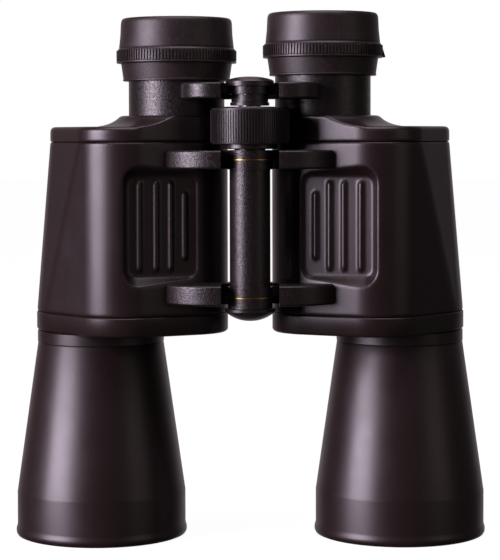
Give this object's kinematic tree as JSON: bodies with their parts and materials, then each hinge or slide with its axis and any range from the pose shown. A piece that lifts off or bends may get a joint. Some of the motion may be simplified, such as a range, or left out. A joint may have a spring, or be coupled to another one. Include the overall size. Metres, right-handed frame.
{
  "type": "binoculars",
  "caption": "Porro-prism centre-focus binoculars: rubber-armoured prism housings and tapered objective barrels on a central hinge, standing on the objective rims.",
  "frame": {"origin": "middle of the plane that both objective rims stand on, midway between the halves and between the front of the focus wheel and the back of the barrels", "axes": "+Z from the objectives to the eyepieces, -Y towards the hinge side, +X towards the half with the dioptre ring"},
  "size_m": [0.1746, 0.0784, 0.1923],
  "materials": {
    "armour_rubber": "smooth satin near-black rubber armour",
    "cover_rubber": "smooth satin near-black moulded cover",
    "crinkle_paint": "fine crinkle black enamel on a casting",
    "satin_paint": "satin black enamel",
    "black_anodised": "matt black anodised",
    "eyecup_rubber": "fine-grained matt black rubber",
    "grip_rubber": "ribbed black rubber",
    "ring_plastic": "serrated matt black plastic",
    "black_plastic": "moulded black plastic",
    "optical_glass": "ground and polished",
    "coated_glass": "polished with a blue-green coating",
    "spring_steel": "bent spring strip",
    "screw_steel": "zinc plated",
    "axle_steel": "ground",
    "spindle_steel": "ground",
    "washer_brass": "turned"
  },
  "bodies": {
    "right_half": {"right_prism_housing": "crinkle_paint", "right_housing_armour": "armour_rubber", "right_top_cover": "cover_rubber", "right_bottom_cover": "cover_rubber", "right_strap_lug": "black_plastic", "right_upper_prism": "optical_glass", "right_lower_prism": "optical_glass", "right_prism_clips": "spring_steel", "right_clip_screws": "screw_steel", "right_barrel_armour": "armour_rubber", "right_objective_tube": "satin_paint", "right_objective_cell": "black_anodised", "right_crown_lens": "coated_glass", "right_flint_lens": "coated_glass", "right_objective_retaining_ring": "black_anodised", "right_guide_tube": "black_anodised", "hinge_axle": "axle_steel", "hinge_tube": "crinkle_paint", "hinge_washers": "washer_brass"},
    "left_half": {"left_prism_housing": "crinkle_paint", "left_housing_armour": "armour_rubber", "left_top_cover": "cover_rubber", "left_bottom_cover": "cover_rubber", "left_strap_lug": "black_plastic", "left_upper_prism": "optical_glass", "left_lower_prism": "optical_glass", "left_prism_clips": "spring_steel", "left_clip_screws": "screw_steel", "left_barrel_armour": "armour_rubber", "left_objective_tube": "satin_paint", "left_objective_cell": "black_anodised", "left_crown_lens": "coated_glass", "left_flint_lens": "coated_glass", "left_objective_retaining_ring": "black_anodised", "left_guide_tube": "black_anodised"},
    "focus_wheel": {"focus_wheel_core": "black_plastic", "focus_wheel_grip": "grip_rubber"},
    "right_bridge": {"right_bridge_arm": "crinkle_paint", "focus_spindle": "spindle_steel", "bridge_washer": "satin_paint", "bridge_cap": "satin_paint"},
    "left_eyepiece": {"left_bridge_arm": "crinkle_paint", "left_lens_barrel": "black_anodised", "left_eye_lens": "coated_glass", "left_field_lens": "coated_glass", "left_field_stop": "black_anodised", "left_eyepiece_cap": "eyecup_rubber", "left_eyepiece_ring": "ring_plastic", "left_eyecup": "eyecup_rubber"},
    "right_lens_carrier": {"right_lens_barrel": "black_anodised", "right_eye_lens": "coated_glass", "right_field_lens": "coated_glass", "right_field_stop": "black_anodised"},
    "dioptre_ring": {"right_eyepiece_cap": "eyecup_rubber", "right_dioptre_ring": "ring_plastic", "right_eyecup": "eyecup_rubber"},
    "tripod_cap": {"tripod_cap": "black_plastic"}
  },
  "joints": [
    {"name": "interpupillary_hinge", "type": "hinge", "parent": "right_half", "child": "left_half", "pos_m": [0, -0.02513, 0.11], "axis": [0, 0, 1], "range_deg": [-4, 60]},
    {"name": "focus_wheel_turn", "type": "hinge", "parent": "right_half", "child": "focus_wheel", "pos_m": [0, -0.02513, 0.151], "axis": [0, 0, 1], "range_deg": [-14, 330.5]},
    {"name": "right_bridge_travel", "type": "slide", "parent": "right_half", "child": "right_bridge", "axis": [0, 0, 1], "range_m": [-0.0003, 0.00733]},
    {"name": "left_bridge_travel", "type": "slide", "parent": "left_half", "child": "left_eyepiece", "axis": [0, 0, 1], "range_m": [-0.0005, 0.0074]},
    {"name": "dioptre_turn", "type": "hinge", "parent": "right_lens_carrier", "child": "dioptre_ring", "pos_m": [0.02675, -0.00162, 0.178], "axis": [0, 0, 1], "range_deg": [-81.5, 18.5]},
    {"name": "dioptre_travel", "type": "slide", "parent": "right_bridge", "child": "right_lens_carrier", "axis": [0, 0, 1], "range_m": [-0.0027, 0.0006]},
    {"name": "tripod_cap_pull", "type": "slide", "parent": "right_half", "child": "tripod_cap", "axis": [0, 0, -1], "range_m": [0, 0.012]}
  ],
  "couplings": [
    {"joint": "focus_wheel_turn", "follows": "right_bridge_travel", "rad_per_m": 785.4},
    {"joint": "left_bridge_travel", "follows": "right_bridge_travel", "ratio": 1},
    {"joint": "dioptre_turn", "follows": "dioptre_travel", "rad_per_m": 523.6}
  ]
}
